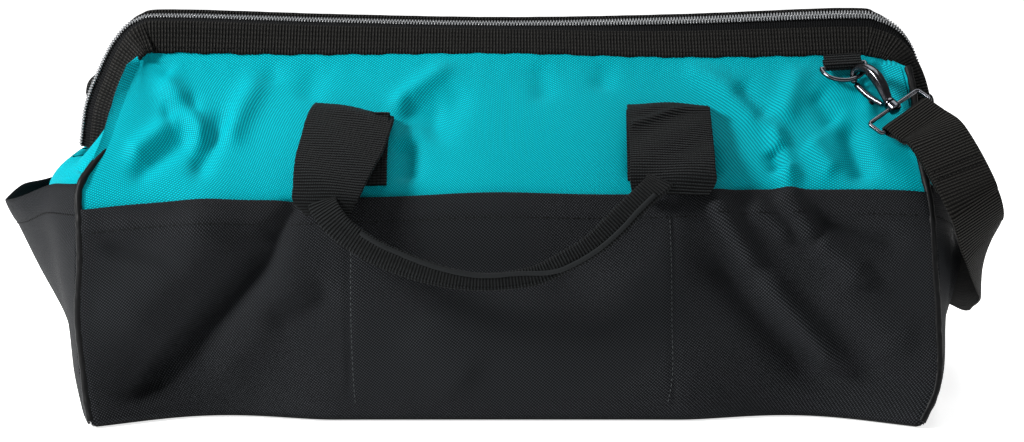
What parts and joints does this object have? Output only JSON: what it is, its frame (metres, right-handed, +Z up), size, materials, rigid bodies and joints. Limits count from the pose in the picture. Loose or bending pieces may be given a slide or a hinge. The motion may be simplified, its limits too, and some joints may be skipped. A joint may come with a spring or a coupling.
{
  "type": "tool bag",
  "caption": "Soft gate-mouth tool bag, zipped shut and standing: teal cloth over black pockets, webbing carry handles, and a shoulder strap on a snap hook.",
  "frame": {"origin": "on the ground under the middle of the bag's base", "axes": "+X along the bag to the end with the front snap hook, -Y out of the front, +Z up"},
  "size_m": [0.6435, 0.2926, 0.2431],
  "materials": {
    "teal_cloth": "coated woven polyester, satin",
    "black_cloth": "coated woven polyester, satin",
    "black_webbing": "ribbed woven webbing, matte",
    "black_trim": "smooth woven tape, matte",
    "zip_coil": "moulded coil, satin",
    "dark_metal": "black nickel plate, polished"
  },
  "bodies": {
    "bag": {"base_panel": "black_cloth", "front_pocket": "black_cloth", "back_pocket": "black_cloth", "left_end_pocket": "black_cloth", "right_end_pocket": "black_cloth", "front_panel": "teal_cloth", "back_panel": "teal_cloth", "left_end_panel": "teal_cloth", "right_end_panel": "teal_cloth", "base_rim": "black_trim", "piping_front_left": "black_trim", "piping_front_right": "black_trim", "piping_back_left": "black_trim", "piping_back_right": "black_trim", "zip_tape_front": "black_trim", "zip_tape_back": "black_trim", "zip_chain": "zip_coil", "front_binding": "black_webbing", "back_binding": "black_webbing", "handle_front": "black_webbing", "handle_back": "black_webbing", "d_ring_tab_front": "black_webbing", "d_ring_tab_back": "black_webbing", "shoulder_strap": "black_webbing", "zip_slider": "dark_metal", "d_ring_front": "dark_metal", "d_ring_back": "dark_metal", "snap_hook_front": "dark_metal", "snap_hook_back": "dark_metal", "swivel_loop_front": "dark_metal", "swivel_loop_back": "dark_metal"},
    "snap_lever": {"snap_lever": "dark_metal"}
  },
  "joints": [
    {"name": "lever_pivot", "type": "hinge", "parent": "bag", "child": "snap_lever", "pos_m": [0.23725, -0.05518, 0.18956], "axis": [0.7091, 0.6933, -0.1286], "range_deg": [0, 6], "stiffness_Nm_per_rad": 0.05, "springref_deg": -5.73}
  ]
}
